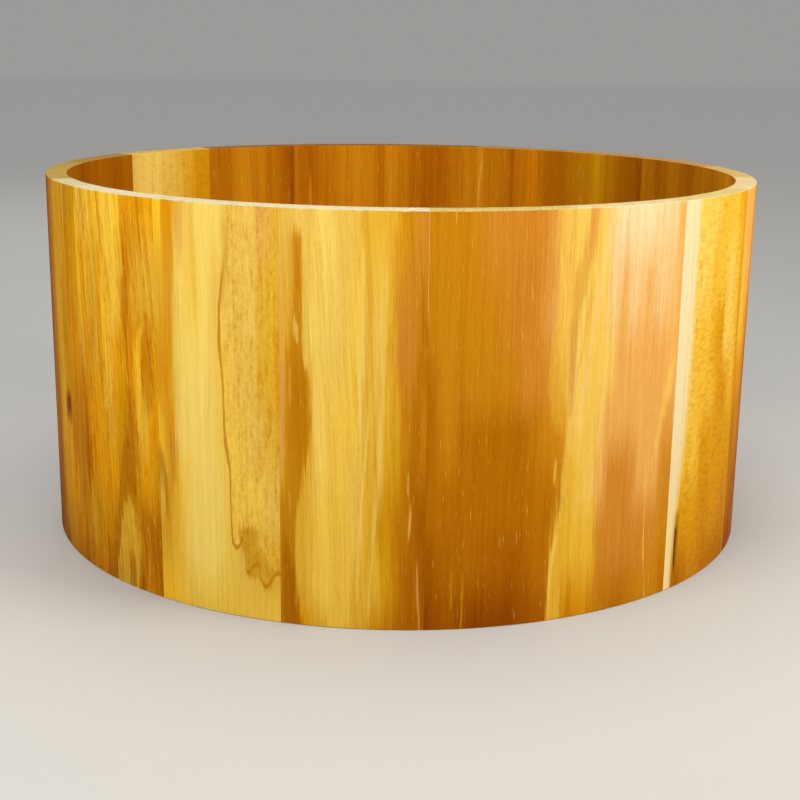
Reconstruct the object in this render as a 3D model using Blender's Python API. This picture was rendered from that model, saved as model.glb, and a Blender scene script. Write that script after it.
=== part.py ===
"""Bass drum shell of stave construction, 22 x 11 inches with a 5/8 inch wall, standing on one open end.

Nineteen boards of solid timber stand side by side in a ring. Each runs the whole depth of the shell,
is mitred along both long edges, is glued to its neighbours there, and is turned to the round
outside and inside, so it ends up as a sector of a tube. The boards aren't quite equally wide: most
cover close to 20 degrees, and two narrow ones share one place. Both ends of the shell are cut
square, and their corners are eased by hand.

Units are metres. Z is the shell's axis, and the origin is the centre of the lower end's plane.
Angles round the shell start at the front (-Y) and grow towards +X.
"""

import math

import bmesh
import bpy
from mathutils import Matrix, Vector

INCH = 0.0254

SHELL_DIAMETER = 22 * INCH
SHELL_DEPTH = 11 * INCH
WALL_THICKNESS = 5 / 8 * INCH
EASED_CORNER = 0.0008
CORNER_SEGMENTS = 2
GLUE_GAP = 0.0003
FACET_ANGLE = math.radians(2.5)
FIRST_JOINT_ANGLE = math.radians(3.8)
SHARP_ANGLE = math.radians(30)

OUTER_RADIUS = SHELL_DIAMETER / 2
INNER_RADIUS = OUTER_RADIUS - WALL_THICKNESS

# Each timber's base colour (linear) and roughness.
TIMBERS = {
    "brown_heartwood": ((0.46, 0.21, 0.045), 0.42),
    "rosy_heartwood": ((0.64, 0.34, 0.11), 0.42),
    "curly_gold": ((0.62, 0.38, 0.09), 0.38),
    "orange_heartwood": ((0.55, 0.28, 0.07), 0.42),
    "red_heartwood": ((0.34, 0.13, 0.03), 0.44),
    "olive_heartwood": ((0.42, 0.25, 0.07), 0.44),
    "golden_sapwood": ((0.74, 0.50, 0.15), 0.40),
    "spalted_sapwood": ((0.80, 0.58, 0.22), 0.40),
}

# The staves in order round the shell from the joint nearest the front: width in degrees, timber.
# The widths add up to a full circle.
STAVES = (
    (19.7, "brown_heartwood"),
    (19.8, "rosy_heartwood"),
    (20.9, "curly_gold"),
    (19.9, "orange_heartwood"),
    (19.9, "brown_heartwood"),
    (19.9, "red_heartwood"),
    (19.9, "olive_heartwood"),
    (19.9, "orange_heartwood"),
    (19.9, "red_heartwood"),
    (19.8, "orange_heartwood"),
    (19.8, "orange_heartwood"),
    (21.5, "golden_sapwood"),
    (19.9, "red_heartwood"),
    (19.9, "olive_heartwood"),
    (9.1, "orange_heartwood"),
    (11.1, "curly_gold"),
    (19.7, "curly_gold"),
    (19.6, "spalted_sapwood"),
    (19.8, "golden_sapwood"),
)


def clear_scene():
    """Removes whatever the file held."""
    for obj in list(bpy.data.objects):
        bpy.data.objects.remove(obj)


def new_collection(name):
    """A collection linked to the scene."""
    collection = bpy.data.collections.new(name)
    bpy.context.scene.collection.children.link(collection)
    return collection


def timber_material(node_name, timber):
    """One stave's own material, in the colour of its timber."""
    colour, roughness = TIMBERS[timber]
    material = bpy.data.materials.new(f"{node_name}_{timber}")
    material.use_nodes = True
    shader = material.node_tree.nodes["Principled BSDF"]
    shader.inputs["Base Color"].default_value = (*colour, 1.0)
    shader.inputs["Roughness"].default_value = roughness
    shader.inputs["Metallic"].default_value = 0.0
    material.diffuse_color = (*colour, 1.0)
    return material


def wall_section():
    """The wall cut along the axis: a rectangle with eased corners, as (radius, height) points."""
    near, far = EASED_CORNER, SHELL_DEPTH - EASED_CORNER
    inside, outside = INNER_RADIUS + EASED_CORNER, OUTER_RADIUS - EASED_CORNER
    corners = ((outside, far, 0), (inside, far, 1), (inside, near, 2), (outside, near, 3))
    points = []
    for radius, height, quarter in corners:
        for step in range(CORNER_SEGMENTS + 1):
            turn = math.pi / 2 * (quarter + step / CORNER_SEGMENTS)
            points.append((radius + EASED_CORNER * math.cos(turn), height + EASED_CORNER * math.sin(turn)))
    return points


def stave_mesh(name, width):
    """One stave, centred on the front: the wall's section spun about the axis from joint to joint."""
    mitre = GLUE_GAP / 2 / INNER_RADIUS
    sweep = width - 2 * mitre
    steps = math.ceil(sweep / FACET_ANGLE)
    start = Matrix.Rotation(-sweep / 2, 3, "Z")
    bm = bmesh.new()
    section = [bm.verts.new(start @ Vector((0, -radius, height))) for radius, height in wall_section()]
    profile = bm.faces.new(section)
    bmesh.ops.spin(
        bm,
        geom=[profile, *profile.edges, *profile.verts],
        cent=(0, 0, 0),
        axis=(0, 0, 1),
        angle=sweep,
        steps=steps,
        use_duplicate=False,
    )
    bmesh.ops.recalc_face_normals(bm, faces=bm.faces)
    mesh = bpy.data.meshes.new(name)
    bm.to_mesh(mesh)
    bm.free()
    mesh.shade_smooth()
    mesh.set_sharp_from_angle(angle=SHARP_ANGLE)
    return mesh


def build_shell():
    """All the staves, each turned to its own place and parented to the shell's empty."""
    collection = new_collection("bass_drum_shell")
    shell = bpy.data.objects.new("shell_axis", None)
    collection.objects.link(shell)
    joint = FIRST_JOINT_ANGLE
    for number, (degrees, timber) in enumerate(STAVES, start=1):
        name = f"stave_{number:02d}"
        width = math.radians(degrees)
        stave = bpy.data.objects.new(name, stave_mesh(name, width))
        stave.rotation_euler.z = joint + width / 2
        stave.parent = shell
        stave.data.materials.append(timber_material(name, timber))
        collection.objects.link(stave)
        joint += width


clear_scene()
build_shell()
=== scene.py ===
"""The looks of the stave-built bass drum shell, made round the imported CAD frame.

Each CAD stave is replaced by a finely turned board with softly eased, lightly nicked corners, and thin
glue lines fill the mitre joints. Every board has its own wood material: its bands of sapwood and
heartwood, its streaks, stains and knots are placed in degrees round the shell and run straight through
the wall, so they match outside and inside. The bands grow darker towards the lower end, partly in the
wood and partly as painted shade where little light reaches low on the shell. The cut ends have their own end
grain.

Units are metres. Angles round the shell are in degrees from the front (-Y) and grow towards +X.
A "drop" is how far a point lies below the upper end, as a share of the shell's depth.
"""

import math
from dataclasses import dataclass

import bmesh
import bpy
import numpy as np
from mathutils import Matrix, Vector, noise


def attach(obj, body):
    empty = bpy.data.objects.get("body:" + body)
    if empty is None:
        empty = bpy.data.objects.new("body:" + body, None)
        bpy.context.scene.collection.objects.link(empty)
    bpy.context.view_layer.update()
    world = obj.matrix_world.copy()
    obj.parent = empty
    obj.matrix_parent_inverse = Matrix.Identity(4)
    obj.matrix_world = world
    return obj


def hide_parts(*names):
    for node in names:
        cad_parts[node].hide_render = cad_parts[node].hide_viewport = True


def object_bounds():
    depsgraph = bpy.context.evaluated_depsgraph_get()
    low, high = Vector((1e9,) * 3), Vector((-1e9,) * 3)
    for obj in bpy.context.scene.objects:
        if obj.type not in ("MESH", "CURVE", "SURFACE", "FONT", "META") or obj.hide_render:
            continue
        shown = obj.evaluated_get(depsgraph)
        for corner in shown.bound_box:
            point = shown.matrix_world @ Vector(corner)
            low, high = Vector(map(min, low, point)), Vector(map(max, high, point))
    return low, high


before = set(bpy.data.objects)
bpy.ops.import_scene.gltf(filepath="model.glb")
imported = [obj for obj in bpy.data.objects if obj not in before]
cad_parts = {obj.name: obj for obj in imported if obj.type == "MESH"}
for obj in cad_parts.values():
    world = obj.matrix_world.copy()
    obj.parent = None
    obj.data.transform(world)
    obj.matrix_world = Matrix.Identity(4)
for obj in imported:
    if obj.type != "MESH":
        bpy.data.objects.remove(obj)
cad_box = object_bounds()

# The shell, from the frame.
OUTER_RADIUS = max(math.hypot(v.co.x, v.co.y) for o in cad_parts.values() for v in o.data.vertices)
INNER_RADIUS = min(math.hypot(v.co.x, v.co.y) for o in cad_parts.values() for v in o.data.vertices)
SHELL_DEPTH = cad_box[1].z - cad_box[0].z

# The turned boards: steps round the arc in degrees, then how each board's corners and joints are made.
ARC_STEP = 0.25
CORNER_RADIUS = 0.0006
CORNER_STEPS = 4
SUPPORT_LOOP = 0.0006
RING_HEIGHTS = 8
JOINT_LINE = 0.00012
GLUE_RECESS = 0.0001
SHARP_ANGLE = math.radians(35)

# Nicks in the outer upper edge: extra rounding in metres and half width in degrees.
NICK_COUNT = 26
NICK_SEED = 5
NICK_DEPTHS = (0.0003, 0.0012)
NICK_WIDTHS = (0.12, 0.5)

# The camera: its distance and height in shares of the outer radius, and its angles.
CAMERA_DISTANCE = 4.1433
CAMERA_ABOVE_RIM = 0.3712
CAMERA_PITCH = math.radians(14.345)
CAMERA_YAW = math.radians(0.072)
CAMERA_ROLL = math.radians(0.755)
CAMERA_VIEW_ANGLE = math.radians(31.47)

# Wood tones, as linear base colours. The darker ones also serve as painted shade low on the boards.
CREAM = (0.74, 0.60, 0.33)
PEACH = (0.74, 0.51, 0.23)
STRAW = (0.86, 0.62, 0.13)
LEMON = (0.83, 0.54, 0.065)
GOLD = (0.92, 0.52, 0.025)
FLAX = (0.76, 0.49, 0.085)
HONEY = (0.71, 0.40, 0.03)
OCHRE = (0.74, 0.32, 0.004)
SALMON = (0.70, 0.35, 0.08)
ROSE = (0.55, 0.21, 0.02)
MUSTARD = (0.58, 0.27, 0.004)
AMBER = (0.60, 0.21, 0.002)
BROWN = (0.51, 0.20, 0.005)
CHESTNUT = (0.42, 0.14, 0.002)
RUSSET = (0.35, 0.10, 0.001)
UMBER = (0.26, 0.06, 0.001)
INK = (0.07, 0.02, 0.004)
FLECK_TONE = (0.88, 0.54, 0.11)
GLUE_TONE = (0.30, 0.12, 0.02)

# Tints that darken or lighten a tone.
DARK_TINT = (0.78, 0.56, 0.22)
PALE_TINT = (1.13, 1.22, 1.5)
PORE_TINT = (0.76, 0.56, 0.25)
DARK_RING_TINT = (0.8, 0.72, 0.6)
PALE_RING_TINT = (1.14, 1.16, 1.22)

SPECULAR_LEVEL = 0.01
RING_TURN = 25.0

# Grain noise: about how many lumps fit in a metre along the arc, into the wall and up the board.
WANDER = (9, 9, 4)
RIPPLE = (60, 60, 30)
BROAD_STREAKS = (90, 30, 2.2)
NARROW_STREAKS = (320, 90, 5)
LINES = (1100, 300, 14)
FIBRES = (3200, 2600, 110)
CURL = (130, 130, 330)
DASHES = (340, 260, 42)
MOTTLE = (520, 480, 190)
FLECKS = (900, 900, 60)
PORES = (1700, 1700, 90)
COMB = (900, 160, 7)
RAGGED_EDGES = (260, 60, 16)
RINGS = (700, 45, 20)
END_PORES = (2600, 2600, 300)
SAW_SCRATCHES = (2500, 160, 300)
GLUE_CLOUDS = (400, 400, 60)

# The kinds of grain whose strengths a board gives: everywhere on it, and only in its figured part.
EVEN_GRAIN = ("slant", "broad", "streak", "fine", "fleck", "pore")
FIGURED_GRAIN = ("curl", "mottle", "dash")

# How far the grain pushes a band's edge, a mark's edge and a stain's border sideways, in degrees, and
# how far it feathers the ends of bands and marks, in drops.
BAND_SWING = 3.6
MARK_SWING = 4.0
STAIN_SWING = 0.9
FEATHERING = 0.08

# A stain's dark border: its middle and half widths in degrees inside the stain's edge, and its strength.
BORDER_MIDDLE = 0.15
BORDER_REACH = (0.3, 0.06)
BORDER_ROUNDING = 0.3
BORDER_STRENGTH = 0.85

# Lights: size, place, aim, power in watts and colour.
LIGHTS = {
    "key": ((0.5, 0.5), (0.88, -0.48, 0.82), (0.2, -0.15, 0.25), 12.6, (1.0, 0.95, 0.86)),
    "fill": ((0.9, 0.5), (-0.4, -0.8, 0.92), (-0.12, -0.2, 0.25), 11.4, (1.0, 0.96, 0.9)),
    "back": ((1.4, 1.0), (-0.6, 2.0, 1.6), (0.0, 0.0, 0.14), 12.0, (1.0, 0.97, 0.92)),
}
FLOOR_LIGHT_POWER = 3.0
FLOOR_LIGHT_ANGLE = math.radians(70)
SKY_COLOUR = (0.95, 0.93, 0.9)
SKY_STRENGTH = 0.05
HORIZON_STRENGTH = 0.35
HORIZON_HEIGHTS = (0.04, 0.22)
FLOOR_COLOUR = (0.31, 0.305, 0.295)
FLOOR_RADIUS = 12.0


class Nodes:
    """Short calls that add shader nodes to one tree. A value may be another node's socket or a number."""

    def __init__(self, tree):
        self.tree = tree

    def add(self, kind, **settings):
        node = self.tree.nodes.new(kind)
        for name, value in settings.items():
            setattr(node, name, value)
        return node

    def feed(self, socket, value):
        if isinstance(value, bpy.types.NodeSocket):
            self.tree.links.new(value, socket)
        else:
            socket.default_value = value

    def math(self, operation, *values, clamp=False):
        node = self.add("ShaderNodeMath", operation=operation, use_clamp=clamp)
        for socket, value in zip(node.inputs, values):
            self.feed(socket, value)
        return node.outputs[0]

    def span(self, value, low, high, smooth=True):
        """0 at low, 1 at high, and held outside them."""
        kind = "SMOOTHSTEP" if smooth else "LINEAR"
        node = self.add("ShaderNodeMapRange", interpolation_type=kind, clamp=True)
        self.feed(node.inputs["Value"], value)
        self.feed(node.inputs["From Min"], low)
        self.feed(node.inputs["From Max"], high)
        return node.outputs["Result"]

    def vector(self, x, y, z):
        node = self.add("ShaderNodeCombineXYZ")
        for socket, value in zip(node.inputs, (x, y, z)):
            self.feed(socket, value)
        return node.outputs[0]

    def axes(self, vector):
        node = self.add("ShaderNodeSeparateXYZ")
        self.feed(node.inputs[0], vector)
        return node.outputs

    def vectors(self, operation, a, b):
        node = self.add("ShaderNodeVectorMath", operation=operation)
        self.feed(node.inputs[0], a)
        self.feed(node.inputs[1], b)
        return node.outputs[0]

    def turned(self, vector, axis, degrees):
        node = self.add("ShaderNodeVectorRotate", rotation_type=axis + "_AXIS")
        self.feed(node.inputs["Vector"], vector)
        self.feed(node.inputs["Angle"], self.math("RADIANS", degrees))
        return node.outputs[0]

    def group(self, tree, **values):
        """A node group with its inputs given by name."""
        node = self.add("ShaderNodeGroup", node_tree=tree)
        for name, value in values.items():
            self.feed(node.inputs[name], value)
        return node.outputs

    def noise(self, vector, factors, detail=2.0, roughness=0.55):
        """Noise from 0 to 1 whose lumps are about one over the factors long on each axis."""
        node = self.add("ShaderNodeTexNoise")
        self.feed(node.inputs["Vector"], self.vectors("MULTIPLY", vector, factors))
        self.feed(node.inputs["Scale"], 1.0)
        self.feed(node.inputs["Detail"], detail)
        self.feed(node.inputs["Roughness"], roughness)
        return node.outputs["Fac"]

    def swing(self, noise, strength):
        """Noise from 0 to 1 made to swing about 0."""
        return self.math("MULTIPLY", self.math("SUBTRACT", noise, 0.5), strength)

    def mix(self, factor, a, b, blend="MIX"):
        node = self.add("ShaderNodeMix", data_type="RGBA", blend_type=blend)
        self.feed(node.inputs[0], factor)
        self.feed(node.inputs[6], a if isinstance(a, bpy.types.NodeSocket) else (*a, 1.0))
        self.feed(node.inputs[7], b if isinstance(b, bpy.types.NodeSocket) else (*b, 1.0))
        return node.outputs[2]

    def ramp(self, value, stops):
        """A colour ramp through (place from 0 to 1, linear colour) stops."""
        node = self.add("ShaderNodeValToRGB")
        elements = node.color_ramp.elements
        while len(elements) < len(stops):
            elements.new(1.0)
        for element, (place, colour) in zip(elements, stops):
            element.position = place
            element.color = (*colour, 1.0)
        self.feed(node.inputs["Fac"], value)
        return node.outputs["Color"]

    def curve(self, value, points):
        """A smooth curve through (value from 0 to 1, result) points."""
        results = [result for _, result in points]
        low, high = min(results), max(results)
        if high - low < 1e-6:
            return low
        node = self.add("ShaderNodeFloatCurve")
        node.mapping.extend = "HORIZONTAL"
        made = node.mapping.curves[0].points
        while len(made) < len(points):
            made.new(1.0, 1.0)
        for point, (place, result) in zip(made, points):
            point.location = (place, (result - low) / (high - low))
        node.mapping.update()
        self.feed(node.inputs["Value"], value)
        return self.math("MULTIPLY_ADD", node.outputs[0], high - low, low)


def node_group(name, inputs, outputs):
    """A new node group, the calls that build it, and its inputs and outputs, given by kind."""
    tree = bpy.data.node_groups.new(name, "ShaderNodeTree")
    for in_out, kinds in (("INPUT", inputs), ("OUTPUT", outputs)):
        for kind, sockets in kinds.items():
            for socket in sockets:
                tree.interface.new_socket(socket, in_out=in_out, socket_type="NodeSocket" + kind)
    n = Nodes(tree)
    return tree, n, n.add("NodeGroupInput").outputs, n.add("NodeGroupOutput").inputs


def new_material(name):
    """A new material, the calls that build it and its shader's inputs."""
    material = bpy.data.materials.new(name)
    material.use_nodes = True
    tree = material.node_tree
    return material, Nodes(tree), tree.nodes["Principled BSDF"].inputs


def new_object(name, data):
    """A new object in the scene, from its data or from a bmesh."""
    if isinstance(data, bmesh.types.BMesh):
        mesh = bpy.data.meshes.new(name)
        data.to_mesh(mesh)
        data.free()
        data = mesh
    made = bpy.data.objects.new(name, data)
    bpy.context.scene.collection.objects.link(made)
    return made


def shell_position_group():
    """Where on the shell a point is: angle, drop, and place along the arc, into the wall and up."""
    kinds = {"Float": ("Angle", "Drop"), "Vector": ("Place",)}
    tree, n, given, result = node_group("shell_position", {"Float": ("Middle",)}, kinds)
    position = n.add("ShaderNodeTexCoord").outputs["Object"]
    x, y, z = n.axes(n.turned(position, "Z", n.math("MULTIPLY", given["Middle"], -1.0)))
    across = n.math("ARCTAN2", x, n.math("MULTIPLY", y, -1.0))
    radius = n.math("SQRT", n.math("ADD", n.math("MULTIPLY", x, x), n.math("MULTIPLY", y, y)))
    arc = n.math("MULTIPLY", across, OUTER_RADIUS)
    depth = n.math("SUBTRACT", OUTER_RADIUS, radius)
    n.feed(result["Angle"], n.math("ADD", n.math("DEGREES", across), given["Middle"]))
    n.feed(result["Drop"], n.math("DIVIDE", n.math("SUBTRACT", SHELL_DEPTH, z), SHELL_DEPTH))
    n.feed(result["Place"], n.vector(arc, depth, z))
    return tree


def stave_span(node):
    """The first and last angle of a CAD stave in degrees, last above first, its middle from -90 to 270."""
    directions = np.array([(v.co.x, v.co.y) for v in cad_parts[node].data.vertices])
    directions /= np.linalg.norm(directions, axis=1)[:, None]
    heading = directions.mean(axis=0)
    middle = math.degrees(math.atan2(heading[0], -heading[1]))
    middle += 360 if middle < -90 else 0
    turn = np.radians(middle)
    aside = directions @ np.array([math.cos(turn), math.sin(turn)])
    half = np.degrees(np.arcsin(aside))
    return middle + half.min(), middle + half.max()


@dataclass
class Mark:
    """A patch of another tone. Its edges are (drop, left, right), left and right in degrees."""

    tone: tuple
    edges: tuple
    strength: float = 1.0
    blur: tuple = (0.5, 0.5)
    wobble: float = 0.6
    end_fade: float = 0.015


@dataclass
class Board:
    """The wood of one stave.

    end_tone is the cut ends' colour. Each of the rows is a drop, then the degrees and tone of each band; the
    lower rows are darker, partly as painted shade.
    The marks lie over them. slant is in degrees. A patch limits curl, mottle and dash to a range of
    degrees. A zone is a stain: its left border as (degrees, drop), its lower one, and their tone. The
    rest is how strong each kind of grain is.
    """

    end_tone: tuple
    rows: tuple
    marks: tuple = ()
    slant: float = 0.0
    broad: float = 0.5
    streak: float = 0.5
    fine: float = 0.5
    curl: float = 0.0
    mottle: float = 0.15
    fleck: float = 0.2
    pore: float = 0.3
    dash: float = 0.0
    patch: tuple = ()
    zone: tuple = ()


def wood_grain_group():
    """Grain over a base colour: streaks, fibres and pores that run up the board, curl and mottle."""
    strengths = [name.title() for name in EVEN_GRAIN + FIGURED_GRAIN]
    inputs = {"Vector": ("Place", "Seed"), "Color": ("Base",), "Float": strengths}
    outputs = {"Color": ("Colour",), "Float": ("Roughness", "Height")}
    tree, n, given, result = node_group("wood_grain", inputs, outputs)
    place = n.vectors("ADD", n.turned(given["Place"], "Y", given["Slant"]), given["Seed"])
    wander = n.swing(n.noise(place, WANDER, 2.0), 0.012)
    ripple = n.swing(n.noise(place, RIPPLE, 2.0), 0.0022)
    place = n.vectors("ADD", place, n.vector(n.math("ADD", wander, ripple), 0.0, 0.0))
    fibre = n.noise(place, FIBRES, 1.0)
    line = n.noise(place, LINES, 2.0, 0.6)
    fine = n.math("ADD", n.swing(line, 3.0), n.swing(fibre, 1.6))
    tone = n.math("MULTIPLY", fine, given["Fine"])
    for factors, detail, roughness, strength in (
        (BROAD_STREAKS, 3.0, 0.55, "Broad"),
        (NARROW_STREAKS, 3.0, 0.6, "Streak"),
        (CURL, 2.0, 0.5, "Curl"),
        (DASHES, 4.0, 0.7, "Dash"),
        (MOTTLE, 3.0, 0.7, "Mottle"),
    ):
        swing = n.swing(n.noise(place, factors, detail, roughness), 4.0)
        tone = n.math("ADD", tone, n.math("MULTIPLY", swing, given[strength]))
    pale = n.mix(1.0, given["Base"], PALE_TINT, "MULTIPLY")
    dark = n.mix(1.0, given["Base"], DARK_TINT, "MULTIPLY")
    colour = n.mix(n.math("MULTIPLY", tone, 1.0, clamp=True), given["Base"], pale)
    colour = n.mix(n.math("MULTIPLY", tone, -1.0, clamp=True), colour, dark)
    fleck = n.math("MULTIPLY", n.span(n.noise(place, FLECKS, 1.0), 0.66, 0.75), given["Fleck"])
    colour = n.mix(fleck, colour, FLECK_TONE)
    pore = n.math("MULTIPLY", n.span(n.noise(place, PORES, 1.0), 0.60, 0.72), given["Pore"])
    colour = n.mix(pore, colour, n.mix(1.0, colour, PORE_TINT, "MULTIPLY"))
    n.feed(result["Colour"], colour)
    rough = n.math("MULTIPLY_ADD", tone, -0.05, 0.5)
    n.feed(result["Roughness"], n.math("MULTIPLY_ADD", pore, 0.14, rough))
    height = n.math("MULTIPLY_ADD", fibre, 0.000012, n.math("MULTIPLY", line, 0.00002))
    n.feed(result["Height"], n.math("MULTIPLY_ADD", pore, -0.00003, height))
    return tree


def end_grain_group():
    """The cut end of a board, with fine growth rings that lie at a turn to the wall."""
    inputs = {"Vector": ("Place", "Seed"), "Color": ("Tone",)}
    tree, n, given, result = node_group("end_grain", inputs, {"Color": ("Colour",), "Float": ("Height",)})
    place = n.vectors("ADD", n.turned(given["Place"], "Z", RING_TURN), given["Seed"])
    rings = n.noise(place, RINGS, 3.0, 0.65)
    pores = n.noise(place, END_PORES, 1.0)
    scratch = n.noise(given["Place"], SAW_SCRATCHES, 2.0)
    small = n.math("MULTIPLY_ADD", pores, 0.35, n.math("MULTIPLY", scratch, 0.25))
    tone = n.math("MULTIPLY_ADD", rings, 0.7, small)
    dark = n.mix(1.0, given["Tone"], DARK_RING_TINT, "MULTIPLY")
    pale = n.mix(1.0, given["Tone"], PALE_RING_TINT, "MULTIPLY")
    n.feed(result["Colour"], n.mix(n.span(tone, 0.42, 0.88), dark, pale))
    n.feed(result["Height"], n.math("MULTIPLY", n.math("ADD", rings, scratch), 0.00002))
    return tree


def band_colour_and_shade(n, board, angle, drop, first, last):
    """The board's bands, each row blending into the next down the board, the lower rows darker partly as
    painted shade.
    """
    across = n.span(angle, first, last, smooth=False)
    colour = None
    for i, (row_drop, *bands) in enumerate(board.rows):
        places = [min(max((a - first) / (last - first), 0.0), 1.0) for a in bands[::2]]
        row = n.ramp(across, list(zip(places, bands[1::2])))
        if i == 0:
            colour = row
        else:
            colour = n.mix(n.span(drop, board.rows[i - 1][0], row_drop), colour, row)
    return colour


def mark_mask(n, mark, angle, drop):
    """1 inside a mark and 0 outside it."""
    left = n.curve(drop, [(d, edge) for d, edge, _ in mark.edges])
    right = n.curve(drop, [(d, edge) for d, _, edge in mark.edges])
    from_left, from_right = n.math("SUBTRACT", angle, left), n.math("SUBTRACT", right, angle)
    mask = n.math("MULTIPLY", n.span(from_left, -mark.blur[0] / 2, mark.blur[0] / 2),
                  n.span(from_right, -mark.blur[1] / 2, mark.blur[1] / 2))
    top, bottom = mark.edges[0][0], mark.edges[-1][0]
    if top > 0:
        mask = n.math("MULTIPLY", mask, n.span(drop, top - mark.end_fade, top + mark.end_fade))
    if bottom < 1:
        mask = n.math("MULTIPLY", mask, n.span(drop, bottom + mark.end_fade, bottom - mark.end_fade))
    return n.math("MULTIPLY", mask, mark.strength)


def zone_line(n, colour, board, angle, drop):
    """Draws a stain's dark border, down its left and in drips under it, and says what is stained."""
    left_path, lower_path, tone = board.zone
    low, high = lower_path[0][0], lower_path[-1][0]
    along = n.span(angle, low, high, smooth=False)
    floor = n.curve(along, [((a - low) / (high - low), d) for a, d in lower_path])
    degrees_per_drop = math.degrees(SHELL_DEPTH / OUTER_RADIUS)
    from_left = n.math("SUBTRACT", angle, n.curve(drop, [(d, a) for a, d in left_path]))
    from_below = n.math("MULTIPLY", n.math("SUBTRACT", floor, drop), 0.5 * degrees_per_drop)
    inside = n.math("SMOOTH_MIN", from_left, from_below, BORDER_ROUNDING)
    border = n.span(n.math("ABSOLUTE", n.math("SUBTRACT", inside, BORDER_MIDDLE)), *BORDER_REACH)
    border = n.math("MULTIPLY", border, n.span(drop, 0.04, 0.22))
    bordered = n.mix(n.math("MULTIPLY", border, BORDER_STRENGTH), colour, tone)
    return bordered, n.span(inside, -0.1, 0.6)


def board_material(name, board, groups, first, last, index):
    """One board's wood."""
    material, n, shader = new_material(name)
    where = n.group(groups["position"], Middle=(first + last) / 2)
    angle, drop, place = where["Angle"], where["Drop"], where["Place"]
    seed = (0.37 * index, 0.19 * index, 0.53 * index)
    seeded = n.vectors("ADD", place, seed)
    comb = n.math("SUBTRACT", n.noise(seeded, COMB, 2.0, 0.6), 0.5)
    ragged = n.math("SUBTRACT", n.noise(seeded, RAGGED_EDGES, 4.0, 0.65), 0.5)
    ragged = n.math("MULTIPLY_ADD", comb, 0.35, ragged)
    feathered_drop = n.math("MULTIPLY_ADD", comb, FEATHERING, drop)
    swung = n.math("MULTIPLY_ADD", ragged, BAND_SWING, angle)
    bands = band_colour_and_shade(n, board, swung, feathered_drop, first, last)
    for mark in board.marks:
        moved = n.math("MULTIPLY_ADD", ragged, MARK_SWING * mark.wobble, angle)
        bands = n.mix(mark_mask(n, mark, moved, feathered_drop), bands, mark.tone)
    figured = 1.0
    if board.patch:
        start, stop = board.patch
        past_start = n.span(angle, start - 0.5, start + 0.5)
        before_stop = n.span(angle, stop + 0.5, stop - 0.5)
        figured = n.math("MULTIPLY", past_start, before_stop)
    if board.zone:
        swung = n.math("MULTIPLY_ADD", ragged, STAIN_SWING, angle)
        bands, figured = zone_line(n, bands, board, swung, drop)
    strengths = {name.title(): getattr(board, name) for name in EVEN_GRAIN}
    for name in FIGURED_GRAIN:
        strengths[name.title()] = n.math("MULTIPLY", figured, getattr(board, name))
    grain = n.group(groups["grain"], Place=place, Base=bands, Seed=seed, **strengths)
    ends = n.group(groups["ends"], Place=place, Tone=(*board.end_tone, 1.0), Seed=seed)
    facing = n.axes(n.add("ShaderNodeTexCoord").outputs["Normal"])
    cut = n.span(n.math("ABSOLUTE", facing[2]), 0.2, 0.6)
    n.feed(shader["Base Color"], n.mix(cut, grain["Colour"], ends["Colour"]))
    n.feed(shader["Roughness"], n.math("MULTIPLY_ADD", cut, 0.12, grain["Roughness"]))
    bump = n.add("ShaderNodeBump")
    bump.inputs["Distance"].default_value = 1.0
    bump.inputs["Strength"].default_value = 0.6
    end_height = n.math("MULTIPLY", ends["Height"], cut)
    side_height = n.math("MULTIPLY", grain["Height"], n.math("SUBTRACT", 1.0, cut))
    n.feed(bump.inputs["Height"], n.math("ADD", end_height, side_height))
    n.feed(shader["Normal"], bump.outputs[0])
    n.feed(shader["Specular IOR Level"], SPECULAR_LEVEL)
    return material


# Each board's bands and marks. Their darkening towards the lower end is partly the wood and partly painted
# shade.
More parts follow.
